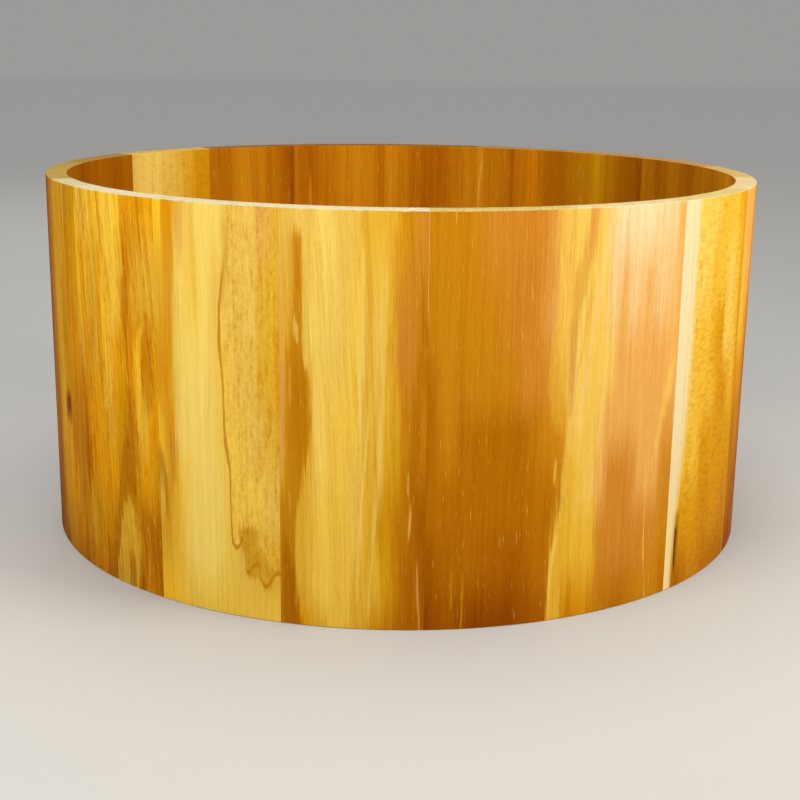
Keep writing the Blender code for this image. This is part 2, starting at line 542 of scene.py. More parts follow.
BOARDS = {
    "stave_01": Board(
        end_tone=(0.52, 0.43, 0.16),
        rows=(
            (0.0, 9, BROWN, 13, ROSE, 19, ROSE, 22, SALMON),
            (0.25, 12, BROWN, 16, ROSE, 19, ROSE, 21, SALMON),
            (0.4, 4, CHESTNUT, 6, BROWN, 15, BROWN, 17, ROSE),
            (0.53, 4, CHESTNUT, 7, BROWN, 10, CHESTNUT, 17.5, CHESTNUT, 20, BROWN),
            (0.7, 14, CHESTNUT, 20, CHESTNUT),
            (0.83, 4, RUSSET, 8, CHESTNUT, 17, RUSSET, 19.5, CHESTNUT),
            (1.0, 4, UMBER, 7, RUSSET, 10, UMBER, 16, UMBER, 20, RUSSET),
        ),
        marks=(
            Mark(HONEY, ((0.0, 20.7, 24), (0.12, 21.2, 24), (0.22, 21.4, 24), (0.35, 20.6, 24),
                (0.48, 21.2, 24), (0.53, 22.2, 24), (0.58, 22.9, 24), (0.7, 22.7, 24), (0.8, 22.1, 24),
                (0.87, 21.5, 24), (1.0, 21.2, 24)), 0.5, (1.6, 0.5), 1.2),
            Mark(FLAX, ((0.0, 22.4, 24), (0.2, 22.6, 24), (0.35, 22.4, 24), (0.5, 23, 24), (0.7, 23.1, 24),
                (0.8, 22.8, 24)), 0.55, (0.9, 0.5), 1.0, 0.05),
            Mark(HONEY, ((0.72, 23, 24), (0.8, 22.2, 24), (0.87, 21.6, 24), (1.0, 21.3, 24)), 0.75,
                (0.5, 0.5), 0.5, 0.04),
            Mark(STRAW, ((0.78, 22.6, 22.8), (0.88, 21.8, 22.1), (1.0, 21.5, 21.7)), 0.5, (0.4, 0.4), 0.3,
                0.04),
            Mark(FLAX, ((0.06, 21.1, 21.2), (0.13, 21.5, 22.0), (0.2, 22.1, 22.7), (0.27, 23.0, 23.5)),
                0.45, (0.5, 0.5), 0.5, 0.03),
            Mark(HONEY, ((0.6, 21.9, 22.1), (0.63, 21.8, 22.2), (0.66, 21.9, 22.1)), 0.7, (0.3, 0.3), 0.3),
            Mark(MUSTARD, ((0.85, 7.4, 7.5), (0.92, 7.3, 7.6), (0.95, 7.4, 7.5)), 0.6, (0.2, 0.2), 0.2),
            Mark(MUSTARD, ((0.86, 8.9, 9.0), (0.93, 9.0, 9.2), (1.0, 8.9, 9.0)), 0.6, (0.2, 0.2), 0.2),
        ),
        broad=0.25, streak=0.3, fine=0.55, fleck=0.35, pore=0.3, mottle=0.12,
    ),
    "stave_02": Board(
        end_tone=(0.61, 0.52, 0.28),
        rows=(
            (0.0, 25, FLAX, 26.5, SALMON, 28, FLAX, 31, CREAM, 38, CREAM, 41, PEACH, 43, SALMON),
            (0.2, 28, FLAX, 30.5, PEACH, 32, SALMON, 34, PEACH, 36, SALMON, 39, PEACH, 43, SALMON),
            (0.37, 23.5, SALMON, 25, FLAX, 30.2, FLAX, 31.2, SALMON),
            (0.5, 28.5, FLAX, 29.8, SALMON),
            (0.65, 23.5, HONEY, 28, FLAX, 29.2, SALMON, 31, ROSE, 34, ROSE, 36.5, SALMON, 39.5, SALMON,
             41.5, ROSE),
            (0.82, 28, HONEY, 29, ROSE, 40, ROSE, 41.5, BROWN),
            (1.0, 23.5, MUSTARD, 25, AMBER, 27.5, MUSTARD, 28.5, BROWN, 33, CHESTNUT, 38, BROWN, 41, BROWN,
             43, CHESTNUT),
        ),
        marks=(
            Mark(ROSE, ((0.0, 25.8, 27.4), (0.1, 24.8, 26.6), (0.17, 24, 25.6), (0.27, 23.6, 24.7),
                (0.4, 23.6, 24.4), (0.5, 23.6, 23.8)), 0.5, (0.9, 0.9), 0.7),
            Mark(ROSE, ((0.17, 26.6, 26.8), (0.27, 25.8, 26.1), (0.36, 24.9, 25.1), (0.46, 24.3, 24.4)),
                0.45, (0.5, 0.5), 0.5, 0.04),
            Mark(CREAM, ((0.2, 25.2, 25.4), (0.35, 24.6, 24.8), (0.5, 24.0, 24.2)), 0.3, (0.5, 0.5), 0.3,
                0.06),
            Mark(CREAM, ((0.1, 28.0, 28.5), (0.3, 26.6, 27.1), (0.5, 25.2, 25.5)), 0.35, (0.8, 0.8), 0.3,
                0.06),
            Mark(HONEY, ((0.15, 28.9, 29.2), (0.4, 27.3, 27.6), (0.7, 25.8, 26)), 0.35, (0.6, 0.6), 0.3,
                0.06),
            Mark(CREAM, ((0.25, 30.0, 30.6), (0.45, 29.0, 29.6), (0.66, 28.0, 28.5)), 0.15, (0.9, 0.5), 0.5,
                0.06),
            Mark(FLAX, ((0.38, 42.4, 43.2), (0.46, 40.8, 42.2), (0.56, 39.6, 40.4), (0.66, 39, 39.5)), 0.55,
                (0.6, 0.6), 0.4, 0.05),
            Mark(BROWN, ((0.47, 43, 43.4), (0.56, 40.8, 43.4), (0.66, 40.4, 43.4), (0.75, 41, 43.4)), 0.4,
                (1.4, 0.5), 0.8, 0.06),
            Mark(FLAX, ((0.67, 37.5, 37.7), (0.76, 37.9, 38.05), (0.85, 38.1, 38.35), (0.92, 38.5, 38.6)),
                0.75, (0.2, 0.2), 0.3),
            Mark(FLAX, ((0.93, 38.7, 38.8), (1.0, 38.9, 39.1)), 0.6, (0.15, 0.15), 0.1),
            Mark(CHESTNUT, ((0.9, 24.8, 25.2), (1.0, 24.2, 25.4)), 0.5, (0.6, 0.6), 0.3, 0.03),
        ),
        broad=0.2, streak=0.3, fine=0.45, fleck=0.3, pore=0.4, mottle=0.1,
    ),
    "stave_03": Board(
        end_tone=(0.57, 0.49, 0.20),
        rows=(
            (0.0, 52, FLAX, 54, HONEY, 60, HONEY, 62, OCHRE, 64, MUSTARD),
            (0.2, 50.5, FLAX, 52, HONEY, 56, HONEY, 58, FLAX, 62, HONEY, 64, MUSTARD),
            (0.37, 46.5, FLAX, 49, HONEY, 52, HONEY, 54, MUSTARD, 56, MUSTARD, 58, FLAX, 62, HONEY,
             63.5, MUSTARD),
            (0.5, 46.5, FLAX, 49, HONEY, 53, HONEY, 56, MUSTARD, 59, MUSTARD, 62, HONEY, 64, MUSTARD),
            (0.65, 50, HONEY, 52, MUSTARD),
            (0.82, 51, MUSTARD, 53.5, BROWN, 57, MUSTARD, 62, BROWN),
            (1.0, 46, RUSSET, 47.5, CHESTNUT, 51, BROWN, 55, CHESTNUT, 62, CHESTNUT, 64, RUSSET),
        ),
        marks=(
            Mark(FLAX, ((0.0, 42, 47.4), (0.3, 42, 47.5), (0.5, 42, 47.2), (0.65, 42, 46.8), (0.75, 42, 46),
                (1.0, 42, 45)), 0.9, (0.6, 0.9), 0.15),
            Mark(CREAM, ((0.0, 42, 46.8), (0.3, 42, 46.8), (0.5, 42, 46.5), (0.65, 42, 46.0),
                (0.75, 42, 45.4), (1.0, 42, 44.8)), 1.0, (0.6, 1.2), 0.15),
            Mark(STRAW, ((0.8, 42, 45.2), (1.0, 42, 44.8)), 0.45, (0.6, 0.6), 0.15, 0.12),
            Mark(CHESTNUT, ((0.79, 45.5, 46.1), (0.87, 45.0, 46.4), (0.94, 45.0, 46.3), (1.0, 45.1, 46.0)),
                0.75, (0.8, 0.8), 0.3),
            Mark(INK, ((0.83, 45.6, 45.9), (0.88, 45.3, 45.9), (0.92, 45.4, 45.9), (0.95, 45.6, 45.8)),
                0.85, (0.4, 0.4), 0.3),
            Mark(MUSTARD, ((0.27, 55.6, 56.8), (0.37, 54.8, 56.8), (0.5, 55.4, 56.4), (0.62, 55, 56.2)),
                0.55, (1.2, 0.6), 0.8, 0.05),
            Mark(BROWN, ((0.5, 57.6, 57.9), (0.53, 57.2, 58.6), (0.56, 57.6, 58.4)), 0.5, (0.8, 0.8)),
            Mark(MUSTARD, ((0.0, 63.2, 65), (0.2, 63.6, 65), (0.4, 62.8, 65), (1.0, 63.6, 65)), 0.5,
                (0.8, 0.6), 0.4),
        ),
        broad=0.2, streak=0.25, fine=0.3, curl=0.5, mottle=0.4, fleck=0.1, pore=0.2, patch=(46.8, 64.6),
    ),
    "stave_04": Board(
        end_tone=(0.68, 0.55, 0.31),
        rows=(
            (0.0, 67, SALMON, 69, HONEY, 71, SALMON, 72.5, OCHRE, 74, BROWN, 84, AMBER),
            (0.2, 65, HONEY, 67, SALMON, 70, SALMON, 71.5, OCHRE, 73, AMBER, 84, BROWN),
            (0.37, 67, HONEY, 68.5, OCHRE, 70, MUSTARD, 71.5, AMBER, 73, CHESTNUT, 84, BROWN),
            (0.5, 65, AMBER, 67, MUSTARD, 68.5, AMBER, 70, BROWN, 71.5, CHESTNUT, 73, RUSSET, 84, BROWN),
            (0.65, 65, CHESTNUT, 68, BROWN, 71, CHESTNUT, 73, RUSSET, 84, CHESTNUT),
            (0.82, 65, CHESTNUT, 68, RUSSET, 71, RUSSET, 74, UMBER, 84, RUSSET),
            (1.0, 69, UMBER, 71, RUSSET, 74, UMBER, 84, RUSSET),
        ),
        broad=0.25, streak=0.2, fine=0.35, mottle=0.2,
    ),
    "stave_05": Board(
        end_tone=(0.62, 0.44, 0.16),
        rows=(
            (0.0, 84, BROWN, 90, OCHRE, 96, BROWN),
            (1.0, 84, CHESTNUT, 92, BROWN, 98, CHESTNUT, 104, RUSSET),
        ),
    ),
    "stave_06": Board(
        end_tone=(0.58, 0.31, 0.10),
        rows=(
            (0.0, 104, BROWN, 108, CHESTNUT, 114, BROWN, 118, CHESTNUT, 124, BROWN),
            (1.0, 104, CHESTNUT, 112, RUSSET, 118, CHESTNUT, 124, RUSSET),
        ),
    ),
    "stave_07": Board(
        end_tone=(0.57, 0.32, 0.09),
        rows=(
            (0.0, 124, RUSSET, 130, CHESTNUT, 136, MUSTARD, 144, CHESTNUT),
            (1.0, 124, UMBER, 132, RUSSET, 138, CHESTNUT, 144, RUSSET),
        ),
        broad=0.7,
    ),
    "stave_08": Board(
        end_tone=(0.52, 0.30, 0.07),
        rows=(
            (0.0, 148, CHESTNUT, 151, AMBER, 156, CHESTNUT, 163, BROWN),
            (1.0, 144, CHESTNUT, 150, BROWN, 156, RUSSET, 163, CHESTNUT),
        ),
        marks=(
            Mark(FLAX, ((0.03, 162.7, 162.9), (0.08, 162.6, 163.0), (0.15, 162.8, 163.1),
                (0.3, 163, 163.1)), 0.35, (0.4, 0.4), 0.5, 0.05),
        ),
    ),
    "stave_09": Board(
        end_tone=(0.35, 0.16, 0.02),
        rows=(
            (0.0, 164, BROWN, 169, CHESTNUT, 171, RUSSET, 175, RUSSET, 178, CHESTNUT, 183, BROWN),
            (1.0, 164, CHESTNUT, 169, RUSSET, 176, UMBER, 183, RUSSET),
        ),
    ),
    "stave_10": Board(
        end_tone=(0.35, 0.15, 0.02),
        rows=(
            # The russet band near 200 degrees is painted shade.
            (0.0, 184, CHESTNUT, 190, BROWN, 196, CHESTNUT, 200, RUSSET, 203, CHESTNUT),
            (1.0, 184, RUSSET, 192, CHESTNUT, 203, RUSSET),
        ),
        marks=(
            Mark(HONEY, ((0.08, 200.0, 200.1), (0.14, 199.8, 200.2), (0.25, 199.6, 199.8)), 0.4, (0.4, 0.4),
                0.6, 0.04),
        ),
    ),
    "stave_11": Board(
        end_tone=(0.35, 0.15, 0.03),
        rows=(
            (0.0, 203.5, UMBER, 205.5, RUSSET, 208, CHESTNUT, 215, BROWN, 219, CHESTNUT),
            (1.0, 203.5, UMBER, 207, RUSSET, 214, BROWN, 223, RUSSET),
        ),
    ),
    "stave_12": Board(
        end_tone=(0.76, 0.53, 0.13),
        rows=(
            (0.0, 226, MUSTARD, 230, HONEY, 233, FLAX, 238, STRAW, 244.5, FLAX),
            (1.0, 223.5, CHESTNUT, 230, MUSTARD, 234, HONEY, 240, LEMON, 244.5, HONEY),
        ),
        curl=0.25, broad=0.3, streak=0.25,
    ),
    "stave_13": Board(
        end_tone=(0.43, 0.27, 0.05),
        rows=(
            (0.0, 245, CHESTNUT, 250, RUSSET, 256, CHESTNUT, 264, RUSSET),
            (1.0, 245, RUSSET, 252, UMBER),
        ),
    ),
    "stave_14": Board(
        end_tone=(0.48, 0.34, 0.08),
        rows=(
            (0.0, -95, RUSSET, -88, CHESTNUT, -82, CHESTNUT, -76, RUSSET),
            (1.0, -95, UMBER, -88, CHESTNUT, -82, RUSSET, -76, UMBER),
        ),
    ),
    "stave_15": Board(
        end_tone=(0.47, 0.33, 0.08),
        rows=(
            (0.0, -75, UMBER, -72.5, RUSSET, -71, CHESTNUT, -69.5, AMBER, -67, MUSTARD),
            (0.4, -75, UMBER, -72.5, RUSSET, -71, CHESTNUT, -69, AMBER, -66.6, MUSTARD),
            (0.6, -75, RUSSET, -71.5, BROWN, -69, CHESTNUT, -67, AMBER),
            (1.0, -71, UMBER, -69, RUSSET, -67, CHESTNUT),
        ),
    ),
    "stave_16": Board(
        end_tone=(0.60, 0.56, 0.32),
        rows=(
            (0.0, -66, HONEY, -64.5, OCHRE, -62, HONEY, -59, MUSTARD),
            (0.2, -66, HONEY, -64, OCHRE, -62, HONEY, -60.5, OCHRE, -58.5, MUSTARD, -56, OCHRE),
            (0.4, -66, HONEY, -63, OCHRE, -60.5, MUSTARD, -58.5, OCHRE, -57, AMBER, -56, OCHRE),
            (0.65, -66, OCHRE, -62, HONEY, -60.5, OCHRE, -59, AMBER, -57, BROWN),
            (0.8, -66, MUSTARD, -63, OCHRE, -58.5, OCHRE, -57, BROWN),
            (0.9, -66, BROWN, -63.5, MUSTARD, -60.5, MUSTARD, -58, AMBER),
            (1.0, -66, UMBER, -63, BROWN, -60, BROWN, -56.5, CHESTNUT),
        ),
        marks=(
            Mark(RUSSET, ((0.545, -61.9, -60.5), (0.59, -62.7, -59.9), (0.635, -61.9, -60.4)), 0.8,
                (1.0, 1.0), 0.2, 0.02),
            Mark(UMBER, ((0.56, -61.5, -60.7), (0.585, -62.3, -60.2), (0.61, -62.0, -60.7)), 1.0,
                (0.7, 0.7), 0.15, 0.01),
        ),
        broad=0.35, streak=0.8, fine=0.8, mottle=0.35, fleck=0.3, dash=0.5,
    ),
    "stave_17": Board(
        end_tone=(0.66, 0.62, 0.43),
        rows=(
            (0.0, -55, GOLD, -53, FLAX, -51.5, GOLD, -50, HONEY, -48.7, GOLD, -42.6, GOLD, -41, OCHRE),
            (0.2, -55, GOLD, -53, OCHRE, -52, GOLD, -50, HONEY, -48, OCHRE, -47.3, GOLD, -44.5, GOLD,
             -42.6, HONEY, -41.5, AMBER, -39, HONEY),
            (0.4, -55, HONEY, -52, OCHRE, -50, HONEY, -48.3, OCHRE, -47, GOLD, -45.8, GOLD, -44, OCHRE,
             -40, OCHRE, -38, AMBER, -36, OCHRE),
            (0.55, -53.5, AMBER, -52, OCHRE, -48.5, OCHRE, -46.5, HONEY, -44.5, OCHRE, -43, MUSTARD,
             -41, AMBER, -39, HONEY, -37, OCHRE),
            (0.7, -55, AMBER, -53.5, CHESTNUT, -52, OCHRE, -46, OCHRE, -44, MUSTARD, -42, CHESTNUT,
             -40.5, MUSTARD, -38.5, OCHRE, -36, MUSTARD),
            (0.85, -55, BROWN, -53.5, AMBER, -52, MUSTARD, -49.5, MUSTARD, -47, AMBER, -45, BROWN,
             -41, MUSTARD, -39, BROWN, -36, CHESTNUT),
            (1.0, -55, CHESTNUT, -52, BROWN, -50, AMBER, -48, CHESTNUT, -46, RUSSET, -43, CHESTNUT,
             -40, CHESTNUT, -38, AMBER, -36, CHESTNUT),
        ),
        marks=(
            Mark(LEMON, ((0.0, -48.4, -43.4), (0.1, -48.2, -43.8), (0.2, -47.2, -43.4), (0.3, -46.8, -43.8),
                (0.4, -47.4, -45.8), (0.5, -48.0, -46.2), (0.56, -47.2, -46.4), (0.62, -46.6, -46.2)), 0.5,
                (0.9, 1.4), 1.0, 0.05),
            Mark(BROWN, ((0.04, -40.8, -39.2), (0.08, -41.2, -38.8), (0.13, -41.2, -38.6),
                (0.17, -41.2, -40.6)), 0.3, (1.0, 1.6), 0.9, 0.03),
            Mark(BROWN, ((0.2, -42.1, -41.3), (0.29, -42.9, -41.3), (0.36, -42.4, -41.6),
                (0.5, -42.0, -41.4), (0.62, -43, -40.9), (0.7, -43.2, -41.6)), 0.6, (0.5, 0.5), 0.4, 0.03),
            Mark(CHESTNUT, ((0.6, -42.8, -41.8), (0.7, -44.4, -42.6), (0.78, -45.2, -43.7),
                (0.85, -46.1, -44.9), (0.93, -47, -45.6), (1.0, -47.8, -46)), 0.65, (0.9, 0.4), 0.4, 0.04),
            Mark(GOLD, ((0.31, -38.8, -38.6), (0.36, -39.9, -38.5), (0.43, -40.7, -38.7),
                (0.5, -40.5, -39.0), (0.58, -39.9, -39.5)), 0.6, (1.0, 0.25), 0.6, 0.01),
            Mark(BROWN, ((0.33, -38.5, -37.2), (0.4, -38.5, -36.6), (0.48, -38.4, -36.6), (0.52, -38, -37)),
                0.6, (0.3, 1.2), 0.5, 0.03),
            Mark(HONEY, ((0.76, -42.7, -42.4), (0.8, -43.7, -41.2), (0.86, -44.6, -40.3),
                (0.92, -45.3, -40.4), (1.0, -46, -40.8)), 0.75, (0.4, 0.8), 0.6, 0.02),
            Mark(RUSSET, ((0.9, -42.2, -41.8), (0.95, -42.7, -41.5), (1.0, -42.9, -41.6)), 0.6, (0.6, 0.3),
                0.5, 0.04),
            Mark(CHESTNUT, ((0.76, -40.4, -38.6), (0.84, -40.2, -37.8), (0.92, -39.2, -37.4),
                (1.0, -39.8, -38)), 0.4, (0.6, 1.2), 0.8, 0.03),
            Mark(HONEY, ((0.85, -38.2, -37.9), (1.0, -38.9, -38.5)), 0.5, (0.3, 0.3), 0.4, 0.03),
            Mark(CHESTNUT, ((0.57, -54, -53.2), (0.7, -54.3, -52.9), (0.78, -54, -53.3)), 0.6, (0.8, 0.8),
                0.6, 0.04),
            Mark(HONEY, ((0.77, -53, -52.2), (0.83, -53.2, -51.6), (0.93, -52.4, -50.8)), 0.5, (0.8, 0.8),
                0.8, 0.03),
        ),
        broad=0.25, streak=0.85, fine=0.95, mottle=0.4, fleck=0.6, dash=0.7, slant=4.0,
    ),
    "stave_18": Board(
        end_tone=(0.60, 0.58, 0.40),
        rows=(
            (0.0, -34.5, GOLD, -33, OCHRE, -31.5, HONEY, -30, FLAX, -27.5, STRAW, -25, STRAW, -23, FLAX,
             -20, FLAX, -18, SALMON, -16, HONEY),
            (0.2, -32.5, HONEY, -31.5, STRAW, -29, LEMON, -27, STRAW, -24.5, FLAX, -20, FLAX, -18, HONEY),
            (0.4, -36, HONEY, -34, OCHRE, -33, HONEY, -31.5, STRAW, -26, STRAW, -24.5, LEMON, -20, FLAX,
             -18.5, HONEY, -17, HONEY, -16, OCHRE),
            (0.55, -36, GOLD, -34, HONEY, -33, OCHRE, -31.5, STRAW, -26, STRAW, -23, LEMON, -20, FLAX,
             -17, HONEY),
            (0.7, -33, HONEY, -31, LEMON, -29, STRAW, -25, STRAW, -23, LEMON, -19.5, LEMON, -17, FLAX),
            (0.85, -34, HONEY, -31, LEMON, -29, STRAW, -26, STRAW, -23, LEMON, -21.5, FLAX, -17, HONEY),
            (1.0, -34, GOLD, -30, LEMON),
        ),
        marks=(
            Mark(AMBER, ((0.0, -34, -32.2), (0.3, -34.2, -32.8), (0.45, -34.6, -33.2), (0.55, -34, -32.7),
                (0.65, -33.9, -32.2), (0.7, -34.4, -33), (0.76, -34.8, -33.4), (0.85, -35, -34.2)), 0.5,
                (1.6, 1.7), 0.8, 0.04),
            Mark(BROWN, ((0.56, -33.4, -33), (0.64, -33.2, -32.4), (0.7, -33.4, -33)), 0.5, (0.8, 0.5), 0.6,
                0.03),
            Mark(BROWN, ((0.3, -35.8, -35.2), (0.42, -35.8, -34.9), (0.5, -35.8, -35.3)), 0.4, (0.8, 0.8),
                0.6, 0.03),
            Mark(CHESTNUT, ((0.6, -35.5, -35.2), (0.66, -35.7, -34.6), (0.72, -34.9, -34.2),
                (0.78, -34.6, -34.3)), 0.6, (0.5, 0.5), 0.4, 0.03),
            Mark(FLAX, ((0.66, -35.7, -35.3), (0.74, -35.7, -35.0), (0.8, -35.7, -35.2)), 0.5, (0.5, 0.5),
                0.5, 0.03),
            Mark(SALMON, ((0.0, -31.2, -30.2), (0.14, -31.2, -30.5)), 0.5, (0.6, 0.6), 0.6, 0.05),
            Mark(HONEY, ((0.0, -29.4, -28.4), (0.24, -28.9, -28.5)), 0.4, (0.6, 0.6), 0.6, 0.05),
            Mark(MUSTARD, ((0.03, -24.2, -22.6), (0.12, -24.3, -23.4), (0.22, -24.6, -24.1)), 0.35,
                (0.6, 0.8), 0.4, 0.04),
            Mark(MUSTARD, ((0.765, -21, -19.8), (0.785, -22, -19.2), (0.82, -21.5, -19.1),
                (0.87, -21.1, -18.9), (0.9, -21, -20)), 0.75, (0.5, 0.5), 0.8, 0.008),
            Mark(MUSTARD, ((0.82, -19.1, -18.4), (0.86, -19.1, -17.6), (0.9, -18.9, -17.2),
                (0.915, -18.4, -17.7)), 0.6, (0.5, 0.8), 0.8, 0.01),
        ),
        broad=0.2, streak=0.25, fine=0.4, mottle=0.62, fleck=0.1, dash=0.55,
        zone=(
            ((-23.6, 0.1), (-24.6, 0.2), (-24.95, 0.3), (-24.85, 0.35), (-24.5, 0.4), (-24.35, 0.5),
             (-24.2, 0.55), (-23.8, 0.61), (-23.6, 0.64), (-23.65, 0.7), (-23.5, 0.78), (-23.5, 1.0)),
            ((-23.5, 0.80), (-23.1, 0.82), (-22.6, 0.828), (-22.1, 0.825), (-21.7, 0.805), (-21.4, 0.82),
             (-21.2, 0.88), (-20.8, 0.888), (-20.3, 0.88), (-19.8, 0.868), (-19.2, 0.862), (-19.0, 0.89),
             (-18.6, 0.912), (-18.1, 0.918), (-17.6, 0.905), (-17.0, 0.888), (-16.3, 0.88), (-15.5, 0.89)),
            BROWN,
        ),
    ),
    "stave_19": Board(
        end_tone=(0.60, 0.58, 0.40),
        rows=(
            (0.0, -12, FLAX, -10.5, STRAW, -8, FLAX, -6, FLAX, -4.5, HONEY, -0.5, HONEY, 0.5, MUSTARD,
             3, ROSE),
            (0.3, -16, SALMON, -14.5, HONEY, -12.5, FLAX, -11.5, STRAW, -7, FLAX, -6, LEMON, -5, FLAX,
             -4, HONEY, -2.2, FLAX, -1.4, HONEY, -0.2, ROSE, 2, ROSE, 2.6, BROWN, 3.5, CHESTNUT),
            (0.5, -16, SALMON, -15, HONEY, -12, HONEY, -11, STRAW, -8, LEMON, -6.5, LEMON, -5, FLAX,
             -3.8, HONEY, -2.5, FLAX, -1.5, HONEY, 0.3, MUSTARD, 1, BROWN, 2.4, CHESTNUT, 3.5, BROWN),
            (0.75, -12.5, HONEY, -11, LEMON, -7, LEMON, -5, FLAX, -4.2, HONEY, -3, HONEY, -2, MUSTARD,
             -0.8, MUSTARD, 0, BROWN, 2, CHESTNUT, 3, RUSSET),
            (0.9, -12.5, HONEY, -11, LEMON, -7, LEMON, -5.6, HONEY, -2.5, HONEY, -1, MUSTARD, 0, BROWN,
             1.5, CHESTNUT, 3, RUSSET),
            (1.0, -12.5, OCHRE, -10.5, HONEY, -8, LEMON, -5.5, HONEY, -3, MUSTARD, -0.8, BROWN, 0, CHESTNUT,
             3, RUSSET),
        ),
        marks=(
            Mark(HONEY, ((0.0, -17, -14.5), (0.3, -17, -14.5), (0.34, -17, -14.5)), 0.45, (0.5, 1.2), 0.6,
                0.05),
            Mark(MUSTARD, ((0.05, -14.2, -13), (0.12, -14.3, -12.8), (0.25, -14.4, -12.8),
                (0.31, -14.8, -12.8), (0.37, -15.2, -12.2), (0.45, -15.4, -11.8), (0.55, -15.6, -12.0),
                (0.6, -15.6, -12.4), (0.65, -16, -12.8), (0.7, -17, -13.4), (0.8, -18, -13.8),
                (0.9, -18, -13.4), (1.0, -18, -13.2)), 0.95, (1.4, 0.35), 0.35, 0.02),
            Mark(BROWN, ((0.06, -13.9, -13.2), (0.15, -13.8, -13.1), (0.28, -14.1, -13.2),
                (0.34, -14.8, -12.9), (0.4, -15.2, -12.2), (0.5, -15.3, -12.1), (0.58, -15.2, -12.5),
                (0.66, -15.4, -13.1), (0.72, -16.6, -13.7), (0.8, -17, -14), (1.0, -17, -13.6)), 0.8,
                (1.8, 0.5), 0.5, 0.03),
            Mark(CHESTNUT, ((0.36, -13.4, -12.6), (0.42, -14.2, -12.3), (0.5, -14.4, -12.4),
                (0.58, -14.2, -12.8)), 0.3, (1.2, 0.6), 0.5, 0.04),
            Mark(RUSSET, ((0.78, -15.6, -14.8), (0.9, -15.8, -13.7), (1.0, -15.6, -12.8)), 0.7, (1.0, 0.6),
                0.6, 0.08),
            Mark(FLAX, ((0.25, -14.3, -13.9), (0.28, -14.2, -13.5), (0.3, -13.8, -13.5)), 0.7, (0.3, 0.3),
                0.6, 0.01),
            Mark(HONEY, ((0.36, -14.7, -14.5), (0.42, -14.7, -14.4), (0.46, -14.6, -14.5)), 0.6,
                (0.25, 0.25), 0.4),
            Mark(HONEY, ((0.66, -15, -14.9), (0.7, -14.8, -14.5), (0.73, -14.6, -14.5)), 0.6, (0.25, 0.25),
                0.4),
            Mark(HONEY, ((0.85, -13.8, -13.7), (0.95, -13.9, -13.6)), 0.5, (0.25, 0.25), 0.4),
            Mark(HONEY, ((0.32, -12.2, -11), (0.42, -11.7, -11.2), (0.5, -11.7, -11.2)), 0.45, (0.4, 1.0),
                0.8, 0.05),
            Mark(STRAW, ((0.08, -4.9, -4.3), (0.3, -5.1, -4.5), (0.5, -5.3, -5)), 0.5, (0.4, 0.4), 0.2,
                0.05),
            Mark(FLAX, ((0.12, -1.8, -1.5), (0.4, -2.1, -1.7), (0.6, -2.7, -2.3), (0.8, -3.4, -3),
                (0.97, -3.9, -3.6)), 0.7, (0.3, 0.3), 0.15, 0.05),
            Mark(MUSTARD, ((0.3, -2.5, -2.3), (0.5, -2.9, -2.7), (0.7, -3.6, -3.4), (0.9, -4.3, -4.1)),
                0.35, (0.3, 0.3), 0.2, 0.05),
            Mark(STRAW, ((0.45, -3.9, -3.6), (0.6, -4.5, -4.2), (0.75, -5.1, -4.8), (0.92, -5.5, -5.2)),
                0.5, (0.3, 0.3), 0.2, 0.05),
            Mark(FLAX, ((0.6, 1.5, 1.6), (0.63, 1.4, 1.6), (0.66, 1.5, 1.6)), 0.6, (0.2, 0.2), 0.2),
            Mark(FLAX, ((0.68, 1.9, 2), (0.73, 1.6, 1.9), (0.78, 1.5, 1.6)), 0.6, (0.25, 0.25), 0.2),
            Mark(FLAX, ((0.0, 3.66, 3.8), (0.24, 3.66, 3.8)), 0.55, (0.14, 0.14), 0.0, 0.04),
            Mark(SALMON, ((0.83, 2.7, 2.9), (0.9, 2.7, 3), (0.96, 3, 3.2), (1.0, 3.1, 3.3)), 0.6,
                (0.2, 0.2), 0.1, 0.03),
        ),
        broad=0.25, streak=0.4, fine=0.5, mottle=0.12, slant=3.0, fleck=0.25,
    ),
}


def nick_places():
    """Where the outer upper edge is nicked: angle, extra rounding and half width, in degrees and metres."""
    draw = np.random.RandomState(NICK_SEED)
    nicks = range(NICK_COUNT)
    return [(draw.uniform(0, 360), draw.uniform(*NICK_DEPTHS), draw.uniform(*NICK_WIDTHS)) for _ in nicks]


NICKS = nick_places()


def corner_radius(angle, corner):
    """How far a corner of the wall's section is eased, which varies a little round the shell."""
    turn = math.radians(angle)
    sample = Vector((6 * math.cos(turn), 6 * math.sin(turn), 3.7 * corner))
    fine = Vector((40 * math.cos(turn), 40 * math.sin(turn), 9.1 * corner))
    radius = CORNER_RADIUS * (1.0 + 0.35 * noise.noise(sample) + 0.2 * noise.noise(fine))
    if corner == 0:
        for place, extra, width in NICKS:
            away = (angle - place + 180) % 360 - 180
            radius += extra * math.exp(-((away / width) ** 2))
    return radius


